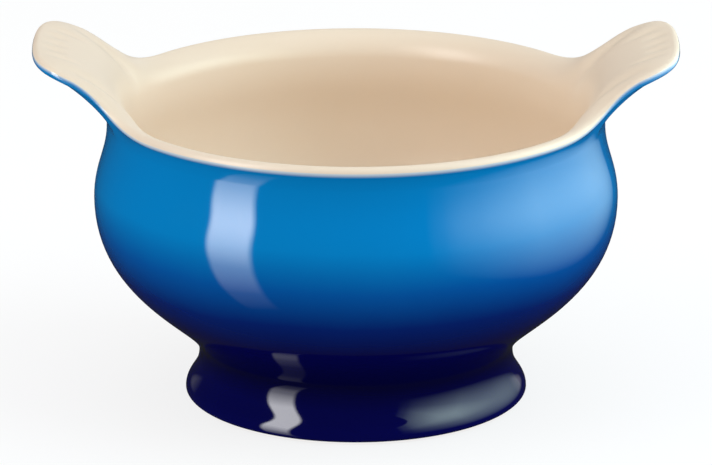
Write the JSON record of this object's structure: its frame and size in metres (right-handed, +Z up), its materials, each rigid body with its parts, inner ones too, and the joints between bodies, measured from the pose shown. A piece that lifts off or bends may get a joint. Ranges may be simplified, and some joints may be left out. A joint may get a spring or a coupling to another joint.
{
  "type": "soup crock",
  "caption": "Round glazed stoneware soup crock on a hollow pedestal foot, with grooved tab handles swept up out of opposite sides of its rim.",
  "frame": {"origin": "centre of the foot's tread, on the surface that the crock stands on", "axes": "+Z up along the axis of the bowl, +X towards the right handle, +Y away from the viewer"},
  "size_m": [0.1668, 0.136, 0.0956],
  "materials": {
    "clay": "unglazed fired stoneware, dry and slightly gritty",
    "cream_glaze": "glossy warm cream glaze",
    "blue_glaze": "glossy blue glaze, azure at the belly and navy at the foot"
  },
  "bodies": {
    "root": {"bowl": "clay", "foot_ring": "clay", "left_handle": "clay", "right_handle": "clay", "inside_glaze": "cream_glaze", "outside_glaze": "blue_glaze", "underfoot_glaze": "blue_glaze"}
  },
  "joints": []
}
